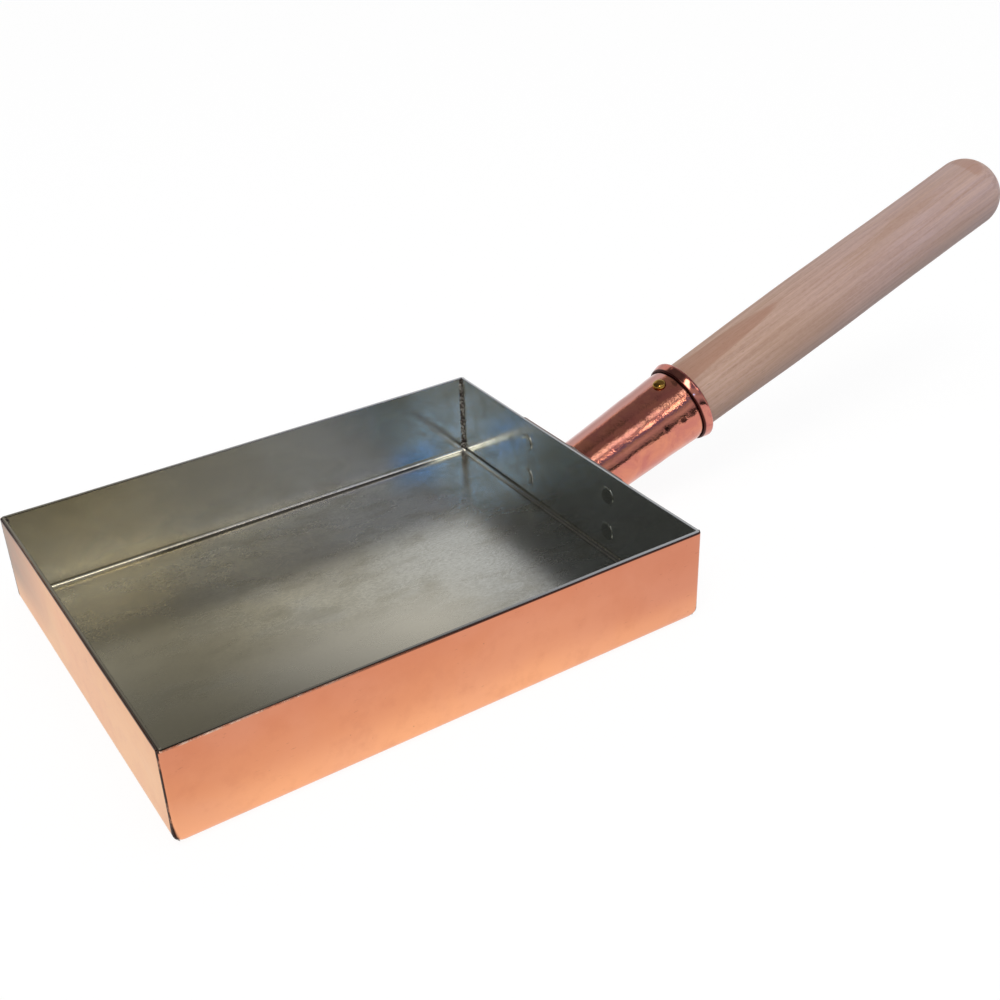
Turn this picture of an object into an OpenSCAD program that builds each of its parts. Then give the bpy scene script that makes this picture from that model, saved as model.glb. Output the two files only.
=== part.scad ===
// Rectangular copper pan for rolled omelettes, tinned inside, with a wooden handle in a copper socket.
// The origin is the centre of the underside. +X points to the handle, +Y to its left, +Z up.
// Sizes are in millimetres. Rear means the handle end and front the far end.

/* [Pan] */
// Outside length, from the front wall to the handle wall
pan_length = 190; // [150:1:240]
// Outside width
pan_width = 150; // [110:1:200]
// Height from the underside to the top of the rim
pan_height = 35; // [34:0.5:70]
// Thickness of the copper sheet
sheet_thick = 1.3; // [0.8:0.1:2]
// Thickness of the tin inside and on the rim
tin_thick = 0.2; // [0.1:0.05:0.4]
// Outside radius of the bend between floor and walls
bend_radius = 4; // [3:0.5:8]
// Outside radius of the upright corners
corner_radius = 1.5; // [0.8:0.1:4]

/* [Corner seams] */
// Width of the brazed seam in a short wall
seam_width = 0.4; // [0.2:0.1:1]
// Distance from the side of the pan to the near edge of the seam
seam_inset = 1.3; // [0.5:0.1:4]

/* [Handle plate] */
// Width of the plate on the handle wall
flange_width = 65; // [62:1:90]
// Thickness of the plate
flange_thick = 1.2; // [0.8:0.1:2]
// Radius of the corners of the plate
flange_corner = 3; // [1:0.5:8]
// Edge of the plate left above and below the brazed joint
flange_edge = 0.3; // [0.1:0.1:3]
// Drop from the top of the rim to the top edge of the plate
rim_gap = 0.8; // [0.4:0.1:6]

/* [Rivets] */
// Distance between the left and the right rivets
rivet_spread = 51; // [44:1:53]
// Distance between the upper and the lower rivets
rivet_rise = 15; // [9:0.5:20]
// Distance of the rivets' middle below the handle's axis
rivet_drop = 0.5; // [-2:0.1:2]
// Diameter of a rivet's shank
rivet_shank = 4; // [2.5:0.5:5]
// Diameter of both heads
rivet_head = 7; // [6:0.5:8]
// Height of the low head inside the pan
inner_head_height = 1; // [0.6:0.1:2]
// Height of the head on the plate
outer_head_height = 1.6; // [0.8:0.1:3]

/* [Socket] */
// Angle at which the handle rises
handle_angle = 19; // [8:0.5:22]
// Outside diameter of the socket at the plate
socket_base = 26.4; // [22:0.2:28]
// Outside diameter of the socket at its mouth
socket_mouth = 30.2; // [28:0.2:34]
// Length of the socket along its axis
socket_length = 58; // [45:1:90]
// Wall thickness of the socket
socket_wall = 1.2; // [0.8:0.1:2]
// Leg of the brazed fillet between socket and plate
braze_leg = 1; // [0.5:0.1:1.5]

/* [Collar] */
// Width of the ring round the mouth
collar_width = 4.4; // [3:0.2:8]
// Height of the ring above the mouth of the socket
collar_height = 1.6; // [1.2:0.1:3]
// Fall of the ring's outer face towards the pan
collar_fall = 0.8; // [0:0.1:1]
// Radius of the ring's outer edges
collar_edge = 0.6; // [0.3:0.1:0.8]
// Length of socket left standing past the ring
collar_setback = 0.3; // [0.1:0.1:2]

/* [Wooden handle] */
// Length of wood seen outside the socket
grip_length = 172; // [110:1:230]
// Largest diameter of the grip
grip_diameter = 29.6; // [27:0.2:36]
// Length over which the grip swells to its largest diameter
swell_length = 76; // [30:1:90]
// Length of the rounded end
round_end = 12.5; // [6:0.5:15]
// Length of the tapered tang in the socket
tang_length = 44; // [30:1:44]
// Gap all round between tang and socket
tang_gap = 0.1; // [0.05:0.05:0.3]

/* [Handle nail] */
// Distance of the nail from the socket's mouth
nail_setback = 10.4; // [8:0.2:16]
// Turn of the nail round the handle, away from the top
nail_turn = 5; // [-30:1:30]
// Diameter of the nail's domed head
nail_head = 5.2; // [4:0.2:7]
// Height of the domed head
nail_head_height = 1.5; // [1:0.1:2.5]
// Diameter of the nail's shank
nail_shank = 1.8; // [1.2:0.1:2.6]
// Length of the nail below its head
nail_length = 16; // [10:0.5:20]
// Length of the nail's point
nail_point = 2.5; // [1.5:0.5:4]
// Diameter of the blunt end of the point
nail_tip = 0.4; // [0.2:0.1:0.8]

/* [Hidden] */
// Facets of a full circle
$fn = 96;
// Overshoot of a cutting shape past the face that it cuts
over = 1;
// Least radius left inside a corner that the sheet folds round
least_radius = 0.3;
// Thinnest slice of a shape that a hull starts from
slice = 0.01;
// Steps of the curves along the wooden handle
swell_steps = 16;
end_steps = 14;

// Top of the copper under the tin on the rim
copper_top = pan_height - tin_thick;
// Faces of the handle wall and its plate
wall_face = pan_length / 2;
lined_face = wall_face - sheet_thick - tin_thick;
plate_face = wall_face + flange_thick;
// Radius of the socket, which grows evenly along its axis
socket_growth = (socket_mouth - socket_base) / 2 / socket_length;
function socket_radius(along) = socket_base / 2 + socket_growth * along;
// The slanted socket meets the upright plate in an ellipse of this height
joint_span = socket_base / cos(handle_angle);
flange_height = joint_span + 2 * (braze_leg + flange_edge);
// Height at which the handle's axis meets the plate
joint_height = pan_height - rim_gap - flange_height / 2;
// Length by which the slant carries the socket's cut end past the plate's face
slant = socket_base * tan(handle_angle);
// The collar sits round the end of the socket
collar_end = socket_length - collar_setback;
collar_start = collar_end - collar_width;
collar_radius = socket_radius(socket_length) + collar_height;
// Places along the wooden handle, measured from the plate
tang_start = socket_length - tang_length;
handle_tip = socket_length + grip_length;
end_start = handle_tip - round_end;
grip_radius = grip_diameter / 2;
function bore_radius(along) = socket_radius(along) - socket_wall;
function tang_radius(along) = bore_radius(along) - tang_gap;
nail_station = socket_length - nail_setback;
// The flat underside of the nail's head clears the widening socket on its mouth side
nail_seat = socket_radius(nail_station + nail_head / 2);

// Upright outline between two heights, with its two lower corners rounded
module round_bottomed(width, low, high, radius) {
    translate([-width / 2, low + radius])
        square([width, high - low - radius]);
    translate([-width / 2 + radius, low])
        square([width - 2 * radius, high - low]);
    for (side = [-1, 1])
        translate([side * (width / 2 - radius), low + radius])
            circle(radius);
}

// Rectangle about the origin with rounded corners
module round_cornered(length, width, radius) {
    square([length, width - 2 * radius], center = true);
    square([length - 2 * radius, width], center = true);
    for (x = [-1, 1], y = [-1, 1])
        translate([x * (length / 2 - radius), y * (width / 2 - radius)])
            circle(radius);
}

// Plan of the pan at a distance in from its outside
module pan_plan(inset) {
    round_cornered(pan_length - 2 * inset, pan_width - 2 * inset, max(corner_radius - inset, least_radius));
}

// Solid block of the pan's form at a distance in from its outside, up to a given height
module pan_block(inset, high) {
    radius = bend_radius - inset;
    intersection() {
        rotate([90, 0, 0])
            linear_extrude(height = pan_width + over, center = true)
                round_bottomed(pan_length - 2 * inset, inset, high, radius);
        rotate([90, 0, 90])
            linear_extrude(height = pan_length + over, center = true)
                round_bottomed(pan_width - 2 * inset, inset, high, radius);
        linear_extrude(height = high + over)
            pan_plan(inset);
    }
}

// The folded sheet before its seams and holes are cut
module copper_shell() {
    difference() {
        pan_block(0, copper_top);
        pan_block(sheet_thick, copper_top + over);
    }
}

// Upright slot in a short wall, where a long wall's end wraps round the corner; end and side are 1 or -1
module seam_slot(end, side) {
    depth = sheet_thick + slice;
    translate([end * (wall_face - depth / 2), side * (pan_width / 2 - seam_inset - seam_width / 2), copper_top / 2])
        cube([depth + slice, seam_width, copper_top + over], center = true);
}

// Places a shape that stands up +Z at each rivet of the given rows and sides, with +Z turned to +X
module at_rivets(rises, sides) {
    for (rise = rises, side = sides)
        translate([0, side * rivet_spread / 2, joint_height - rivet_drop + rise * rivet_rise / 2])
            rotate([0, 90, 0])
                children();
}

// Holes for all four rivets, through wall, lining and plate
module rivet_holes() {
    at_rivets([-1, 1], [-1, 1])
        translate([0, 0, lined_face - over])
            cylinder(h = plate_face - lined_face + 2 * over, d = rivet_shank);
}

// Low dome on the plane z = 0, cut from a sphere
module dome(width, high) {
    radius = (width * width / 4 + high * high) / (2 * high);
    intersection() {
        translate([0, 0, high - radius])
            sphere(radius);
        cylinder(h = high + over, d = width + over);
    }
}

// Carries a shape that stands up +Z onto the handle's axis, with z = 0 where the axis meets the plate
module along_handle() {
    translate([plate_face, 0, joint_height])
        rotate([0, 90 - handle_angle, 0])
            children();
}

// Cone along the handle, the given distance outside (or, when less than 0, inside) the socket's face
module socket_cone(outside, start, end) {
    along_handle()
        translate([0, 0, start])
            cylinder(h = end - start, r1 = socket_radius(start) + outside, r2 = socket_radius(end) + outside);
}

// Everything behind the plate's outer face
module behind_plate() {
    depth = 2 * slant;
    translate([plate_face - depth, -pan_width / 2, -pan_height])
        cube([depth, pan_width, 3 * pan_height]);
}

// Carries a shape that stands up +Z to the nail, with z = 0 on the handle's axis
module at_nail() {
    along_handle()
        rotate([0, 0, nail_turn])
            translate([0, 0, nail_station])
                rotate([0, -90, 0])
                    children();
}

// Shank and point of the nail, also the shape of its hole
module nail_shaft() {
    shank_end = nail_seat - nail_length + nail_point;
    at_nail() {
        translate([0, 0, shank_end])
            cylinder(h = nail_seat - shank_end + nail_head_height / 2, d = nail_shank);
        translate([0, 0, shank_end - nail_point])
            cylinder(h = nail_point, d1 = nail_tip, d2 = nail_shank);
    }
}

// Copper tray: a floor and four walls, folded from one sheet
module pan_body() {
    color([0.88, 0.58, 0.44])
        difference() {
            copper_shell();
            for (end = [-1, 1], side = [-1, 1])
                seam_slot(end, side);
            rivet_holes();
        }
}

// Tin over the inside and over the top of the rim
module tin_lining() {
    color([0.55, 0.55, 0.52])
        difference() {
            union() {
                pan_block(sheet_thick, pan_height);
                translate([0, 0, copper_top])
                    linear_extrude(height = tin_thick)
                        pan_plan(0);
            }
            pan_block(sheet_thick + tin_thick, pan_height + over);
            rivet_holes();
        }
}

// Brazed filler in one corner seam
module corner_seam(end, side) {
    color([0.45, 0.32, 0.24])
        intersection() {
            copper_shell();
            seam_slot(end, side);
        }
}

// Copper plate that carries the socket
module handle_flange() {
    color([0.80, 0.50, 0.38])
        difference() {
            translate([wall_face, 0, joint_height])
                rotate([90, 0, 90])
                    linear_extrude(height = flange_thick)
                        round_cornered(flange_width, flange_height, flange_corner);
            rivet_holes();
        }
}

// Rivet with a low head inside the pan and a domed head on the plate
module wall_rivet(rise, side) {
    color([0.66, 0.60, 0.55])
        at_rivets([rise], [side]) {
            translate([0, 0, lined_face - slice])
                cylinder(h = plate_face - lined_face + 2 * slice, d = rivet_shank);
            translate([0, 0, lined_face])
                mirror([0, 0, 1])
                    dome(rivet_head, inner_head_height);
            translate([0, 0, plate_face])
                dome(rivet_head, outer_head_height);
        }
}

// Tapered copper tube, cut off along the plate
module handle_socket() {
    color([0.74, 0.44, 0.34])
        difference() {
            socket_cone(0, -slant, socket_length);
            socket_cone(-socket_wall, -slant - over, socket_length + over);
            behind_plate();
            nail_shaft();
        }
}

// Brazed fillet round the foot of the socket
module socket_braze() {
    color([0.62, 0.42, 0.30])
        difference() {
            hull() {
                foot_slice(braze_leg, 0);
                foot_slice(slice, braze_leg);
            }
            socket_cone(0, -slant, socket_length);
        }
}

// Thin upright slice of the socket's cone, grown by an amount and standing off the plate by a distance
module foot_slice(grown, standoff) {
    intersection() {
        socket_cone(grown, -slant, slant);
        translate([plate_face + standoff, -pan_width / 2, 0])
            cube([slice, pan_width, 2 * pan_height]);
    }
}

// Ring round the mouth of the socket
module socket_collar() {
    color([0.80, 0.48, 0.37])
        difference() {
            along_handle()
                rotate_extrude()
                    collar_outline();
            socket_cone(0, collar_start - over, collar_end + over);
        }
}

// Half section of the collar: its outer face falls towards the pan between two rounded edges
module collar_outline() {
    lean = atan(collar_fall / (collar_width - 2 * collar_edge));
    outward = collar_edge * [cos(lean), -sin(lean)];
    low = [collar_radius - collar_fall - collar_edge, collar_start + collar_edge];
    high = [collar_radius - collar_edge, collar_end - collar_edge];
    polygon([[0, collar_start], [low[0], collar_start], low + outward, high + outward, [high[0], collar_end],
        [0, collar_end]]);
    for (centre = [low, high])
        translate(centre)
            circle(collar_edge);
}

// Round handle with its tang, a slow swell and a rounded end
module wood_handle() {
    mouth_radius = tang_radius(socket_length);
    swell = [for (step = [0 : swell_steps])
        [mouth_radius + (grip_radius - mouth_radius) * sin(90 * step / swell_steps),
            socket_length + swell_length * step / swell_steps]];
    rounded = [for (step = [0 : end_steps])
        [grip_radius * cos(90 * step / end_steps), end_start + round_end * sin(90 * step / end_steps)]];
    color([0.76, 0.65, 0.56])
        difference() {
            along_handle()
                rotate_extrude()
                    polygon(concat([[0, tang_start], [tang_radius(tang_start), tang_start]], swell, rounded));
            nail_shaft();
        }
}

// Brass nail through the socket into the tang
module handle_nail() {
    color([0.72, 0.58, 0.26]) {
        nail_shaft();
        at_nail()
            translate([0, 0, nail_seat])
                dome(nail_head, nail_head_height);
    }
}

pan_body();
tin_lining();
corner_seam(-1, 1);  // seam_front_left
corner_seam(-1, -1);  // seam_front_right
corner_seam(1, 1);  // seam_rear_left
corner_seam(1, -1);  // seam_rear_right
handle_flange();
wall_rivet(1, 1);  // rivet_upper_left
wall_rivet(1, -1);  // rivet_upper_right
wall_rivet(-1, 1);  // rivet_lower_left
wall_rivet(-1, -1);  // rivet_lower_right
handle_socket();
socket_braze();
socket_collar();
wood_handle();
handle_nail();
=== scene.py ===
import math
from operator import mul

import bmesh
import bpy
from mathutils import Euler, Matrix, Vector, noise


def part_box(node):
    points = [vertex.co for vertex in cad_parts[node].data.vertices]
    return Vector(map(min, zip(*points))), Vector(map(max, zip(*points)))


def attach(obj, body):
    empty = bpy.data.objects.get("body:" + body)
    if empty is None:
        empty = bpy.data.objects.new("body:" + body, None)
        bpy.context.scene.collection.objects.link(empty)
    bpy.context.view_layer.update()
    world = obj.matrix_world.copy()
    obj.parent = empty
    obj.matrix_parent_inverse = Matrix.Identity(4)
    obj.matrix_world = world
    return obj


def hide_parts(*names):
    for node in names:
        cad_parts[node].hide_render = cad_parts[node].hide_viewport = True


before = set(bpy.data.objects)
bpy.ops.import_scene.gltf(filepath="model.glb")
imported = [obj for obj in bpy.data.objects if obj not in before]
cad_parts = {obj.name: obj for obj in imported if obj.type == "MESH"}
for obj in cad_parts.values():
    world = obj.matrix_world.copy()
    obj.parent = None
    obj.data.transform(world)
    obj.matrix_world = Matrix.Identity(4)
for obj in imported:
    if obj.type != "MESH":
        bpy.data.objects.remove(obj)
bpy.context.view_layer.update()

MM = 0.001

# Sizes of the pan, taken from the frame where it holds them
_, pan_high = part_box("pan_body")
_, rim_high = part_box("tin_lining")
plate_low, plate_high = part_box("handle_flange")
HALF_LENGTH = pan_high.x
HALF_WIDTH = pan_high.y
COPPER_TOP = pan_high.z
RIM_TOP = rim_high.z
TIN = RIM_TOP - COPPER_TOP
SHEET = 1.3 * MM
LINED = SHEET + TIN
BEND = 4 * MM
INNER_BEND = 3.4 * MM
CORNER = 1.5 * MM
LEAST_CORNER = 0.3 * MM
SEAM_INSET = 1.3 * MM
SEAM_WIDTH = 0.4 * MM
PLATE_FACE = plate_high.x
JOINT_HEIGHT = (plate_low.z + plate_high.z) / 2
RIVET_SPREAD = 51 * MM
RIVET_RISE = 15 * MM
RIVET_DROP = 0.5 * MM
RIVET_HEAD = 3.5 * MM
RIVET_SHANK = 2 * MM
INNER_HEAD = 0.4 * MM
INNER_EDGE = 0.65 * MM
OUTER_HEAD = 1.6 * MM

# Sizes along the handle, from the plate's face
HANDLE_ANGLE = math.radians(19)
SOCKET_BASE = 13.2 * MM
SOCKET_MOUTH = 15.1 * MM
SOCKET_LENGTH = 58 * MM
SOCKET_WALL = 1.2 * MM
BRAZE_LEG = 1.0 * MM
RING_WIDTH = 4.4 * MM
RING_HEIGHT = 1.6 * MM
RING_FALL = 0.8 * MM
RING_SETBACK = 0.3 * MM
RING_LIP = 0.45 * MM
RING_ROLL = 1.1 * MM
GRIP_LENGTH = 172 * MM
GRIP_RADIUS = 14.8 * MM
SWELL_LENGTH = 76 * MM
ROUND_END = 12.5 * MM
TANG_LENGTH = 44 * MM
TANG_GAP = 0.1 * MM
TANG_BEVEL = 0.4 * MM
NAIL_SETBACK = 10.4 * MM
NAIL_TURN = math.radians(5)
NAIL_HEAD = 2.6 * MM
NAIL_HEAD_HEIGHT = 1.5 * MM
NAIL_SHANK = 0.9 * MM
NAIL_LENGTH = 16 * MM
NAIL_POINT = 2.5 * MM
NAIL_RIM = 0.12 * MM

# Faces that touch are drawn this far into one another or apart
HAIR = 0.02 * MM

# Dents in the socket: turn in degrees, place along it, width and depth in millimetres
DENTS = (
    (248.8, 38.2, 1.1, 0.12),
    (252.9, 46.1, 1.5, 0.16),
    (251.0, 50.2, 1.2, 0.10),
    (246.5, 33.0, 1.4, 0.06),
    (214.0, 24.0, 2.4, 0.05),
)
# The dents round which the socket has painted dark reflections
DENTS_WITH_DARK_REFLECTIONS = DENTS[:2]

# The handle's own frame: its Z runs along the handle and its -X points up
handle_tilt = Matrix.Rotation(math.pi / 2 - HANDLE_ANGLE, 4, "Y")
handle_frame = Matrix.Translation((PLATE_FACE, 0, JOINT_HEIGHT)) @ handle_tilt


def smoothstep(low, high, value):
    """0 below low, 1 above high, and a smooth climb between."""
    part = min(max((value - low) / (high - low), 0), 1)
    return part * part * (3 - 2 * part)


def arc(centre, radius, start, end, steps):
    """Points of an arc in a section, from one angle in degrees to another."""
    angles = [math.radians(start + (end - start) * step / steps) for step in range(steps + 1)]
    return [(centre[0] + radius * math.cos(angle), centre[1] + radius * math.sin(angle)) for angle in angles]


# Meshes


def make_piece(name, points, faces, finish, nodes, place=None):
    """Makes a closed, smooth-shaded piece that stands for CAD nodes and rides with the pan."""
    if place is not None:
        points = [place @ point for point in points]
    skin = bpy.data.meshes.new(name)
    skin.from_pydata([tuple(point) for point in points], [], faces)
    skin.validate()
    shape = bmesh.new()
    shape.from_mesh(skin)
    bmesh.ops.recalc_face_normals(shape, faces=shape.faces)
    shape.to_mesh(skin)
    shape.free()
    skin.materials.append(finish)
    skin.polygons.foreach_set("use_smooth", [True] * len(skin.polygons))
    skin.set_sharp_from_angle(angle=math.radians(40))
    piece = bpy.data.objects.new(name, skin)
    bpy.context.scene.collection.objects.link(piece)
    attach(piece, "root")
    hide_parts(*nodes)


def plan_loop(half_x, half_y, round_radius, x_steps, y_steps, corner_steps):
    """Points round a rectangle with rounded corners, starting at the low end of its +X side."""
    flat_x = half_x - round_radius
    flat_y = half_y - round_radius
    quarter = math.pi / 2
    loop = []
    for side, steps in enumerate((y_steps, x_steps, y_steps, x_steps)):
        run = flat_y if side % 2 == 0 else flat_x
        reach = half_x if side % 2 == 0 else half_y
        spin = Matrix.Rotation(side * quarter, 2)
        for step in range(steps + 1):
            loop.append(spin @ Vector((reach, run * (2 * step / steps - 1))))
        for step in range(1, corner_steps):
            angle = quarter * step / corner_steps
            turned = Vector((math.cos(angle), math.sin(angle))) * round_radius
            loop.append(spin @ (Vector((reach - round_radius, run)) + turned))
    return loop


class RoundedSlab:
    """A closed skin over rings round a rounded rectangle, with a grid over its first and last ring."""

    def __init__(self, half_x, half_y, corner, x_steps, y_steps, corner_steps=4, foot=0):
        self.half_x = half_x
        self.half_y = half_y
        self.corner = corner
        self.foot = foot
        self.steps = (x_steps, y_steps)
        self.corner_steps = corner_steps
        self.points = []
        self.faces = []

    def corner_radius(self, inset, height):
        """Radius of a ring's corners, which grows towards the foot where a folded corner rounds off."""
        return max(self.corner - inset, LEAST_CORNER) + self.foot * (1 - smoothstep(0, BEND, height))

    def ring(self, inset, height):
        """Adds one ring and returns its first index and its number of points."""
        first = len(self.points)
        radius = self.corner_radius(inset, height)
        loop = plan_loop(self.half_x - inset, self.half_y - inset, radius, *self.steps, self.corner_steps)
        self.points += [Vector((x, y, height)) for x, y in loop]
        return first, len(loop)

    def lid(self, inset, height, ring_start, facing_up):
        """Fills a ring with a grid, a strip along each side and a fan at each corner."""
        x_steps, y_steps = self.steps
        radius = self.corner_radius(inset, height)
        reach_x = self.half_x - inset - radius
        reach_y = self.half_y - inset - radius
        first = len(self.points)
        for row in range(y_steps + 1):
            for column in range(x_steps + 1):
                x = reach_x * (2 * column / x_steps - 1)
                y = reach_y * (2 * row / y_steps - 1)
                self.points.append(Vector((x, y, height)))

        def at(column, row):
            return first + row * (x_steps + 1) + column

        quads = []
        for row in range(y_steps):
            for column in range(x_steps):
                corners = ((column, row), (column + 1, row), (column + 1, row + 1), (column, row + 1))
                quads.append(tuple(at(*corner) for corner in corners))
        sides = (
            [at(x_steps, row) for row in range(y_steps + 1)],
            [at(column, y_steps) for column in range(x_steps, -1, -1)],
            [at(0, row) for row in range(y_steps, -1, -1)],
            [at(column, 0) for column in range(x_steps + 1)],
        )
        ring = ring_start
        for side in sides:
            for step in range(len(side) - 1):
                quads.append((side[step], ring + step, ring + step + 1, side[step + 1]))
            ring += len(side) - 1
            for step in range(self.corner_steps):
                after = ring + step + 1
                if side is sides[-1] and step == self.corner_steps - 1:
                    after = ring_start
                quads.append((side[-1], ring + step, after))
            ring += self.corner_steps
        self.faces += quads if facing_up else [tuple(reversed(quad)) for quad in quads]

    def skin(self, path):
        """Lofts rings along a path of (inset, height), from the underside's lid round to the top's."""
        starts = [self.ring(inset, height) for inset, height in path]
        for (low, count), (high, _) in zip(starts, starts[1:]):
            for step in range(count):
                after = (step + 1) % count
                self.faces.append((low + step, low + after, high + after, high + step))
        self.lid(*path[0], starts[0][0], facing_up=False)
        self.lid(*path[-1], starts[-1][0], facing_up=True)


def ring_mesh(section_at, around, closed=True):
    """Sweeps a section of (radius, along) round the Z axis; an open section starts and ends on the axis."""
    points = []
    faces = []
    count = 0
    for turn in range(around):
        angle = 2 * math.pi * turn / around
        section = section_at(angle)
        count = len(section)
        for radius, along in section:
            points.append(Vector((radius * math.cos(angle), radius * math.sin(angle), along)))
    for turn in range(around):
        here = turn * count
        there = (turn + 1) % around * count
        for step in range(count if closed else count - 1):
            after = (step + 1) % count
            faces.append((here + step, there + step, there + after, here + after))
    if not closed:
        for step, flip in ((0, True), (count - 1, False)):
            rim = [turn * count + step for turn in range(around)]
            middle = sum((points[index] for index in rim), Vector()) / around
            points.append(middle)
            pole = len(points) - 1
            for turn in range(around):
                pair = (rim[turn], rim[(turn + 1) % around])
                faces.append((pole, pair[1], pair[0]) if flip else (pole, pair[0], pair[1]))
    return points, faces


# The slight unevenness of hand work


def unevenness(angle, level, waves=1.0):
    """Smooth chance value between -1 and 1 that closes round an axis."""
    return noise.noise(Vector((math.cos(angle), math.sin(angle), level)) * waves)


def sheet_sway(point):
    """Moves a point of the tray a little inward, as a hand-folded sheet wavers."""
    reach = 12 * MM
    rim_play = 0.35 * MM
    floor_play = 0.25 * MM
    wall_waves = 30
    floor_waves = 22
    calm_reach = 25 * MM
    near_x = smoothstep(HALF_LENGTH - reach, HALF_LENGTH - BEND, abs(point.x))
    near_y = smoothstep(HALF_WIDTH - reach, HALF_WIDTH - BEND, abs(point.y))
    height = point.z / RIM_TOP
    moved = point.copy()
    upright = Vector((point.x, point.y, point.z / 2)) * wall_waves
    wall_x = noise.noise(upright + Vector((3, 0, 0)))
    wall_y = noise.noise(upright + Vector((0, 7, 0)))
    free_x = smoothstep(0, calm_reach, HALF_WIDTH - abs(point.y))
    free_y = smoothstep(0, calm_reach, HALF_LENGTH - abs(point.x))
    moved.x -= math.copysign(rim_play * (0.5 + 0.5 * wall_x) * near_x * height * free_x, point.x)
    moved.y -= math.copysign(rim_play * (0.5 + 0.5 * wall_y) * near_y * height * free_y, point.y)
    flat = (1 - near_x) * (1 - near_y)
    dish = noise.noise(Vector((point.x, point.y, 0)) * floor_waves + Vector((0, 0, 5)))
    moved.z += floor_play * (0.5 + 0.5 * dish) * flat * (1 - smoothstep(3 * MM, 9 * MM, point.z))
    return moved


def hammered(angle, along, depth):
    """Radial offset of planished copper: overlapping shallow blows and a slow waver."""
    skin_radius = 14
    blow_width = 5.5
    waver_length = 9
    slow_length = 24
    place = Vector((math.cos(angle) * skin_radius, math.sin(angle) * skin_radius, along / MM))
    blow = noise.voronoi(place / blow_width)[0][0]
    waver = noise.noise(Vector((place.x, place.y, place.z * 0.8)) / waver_length)
    slow = noise.noise(place / slow_length + Vector((5, 0, 0)))
    return depth * (0.5 * min(blow, 1) ** 2 + 1.5 * waver + 1.6 * slow)


def dented(angle, along):
    """Depth of the few small dents on the -Y side, each a little longer than wide."""
    slimness = 0.8
    depth = 0
    for turn, station, width, deep in DENTS:
        across = (angle - math.radians(turn)) * socket_radius(along) / MM
        away = (across ** 2 + ((along / MM - station) * slimness) ** 2) / width ** 2
        depth += deep * math.exp(-away)
    return depth * MM


# Shader building


class Wire:
    """One output of a node. Arithmetic on wires adds Math nodes."""

    def __init__(self, bench, socket):
        self.bench = bench
        self.socket = socket

    def maths(self, operation, first, second=0):
        return self.bench.add("ShaderNodeMath", {"operation": operation}, {0: first, 1: second})

    def __add__(self, other):
        return self.maths("ADD", self, other)

    def __radd__(self, other):
        return self.maths("ADD", other, self)

    def __sub__(self, other):
        return self.maths("SUBTRACT", self, other)

    def __rsub__(self, other):
        return self.maths("SUBTRACT", other, self)

    def __mul__(self, other):
        return self.maths("MULTIPLY", self, other)

    def __rmul__(self, other):
        return self.maths("MULTIPLY", other, self)

    def __truediv__(self, other):
        return self.maths("DIVIDE", self, other)

    def __pow__(self, other):
        return self.maths("POWER", self, other)

    def __abs__(self):
        return self.maths("ABSOLUTE", self, 0)


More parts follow.
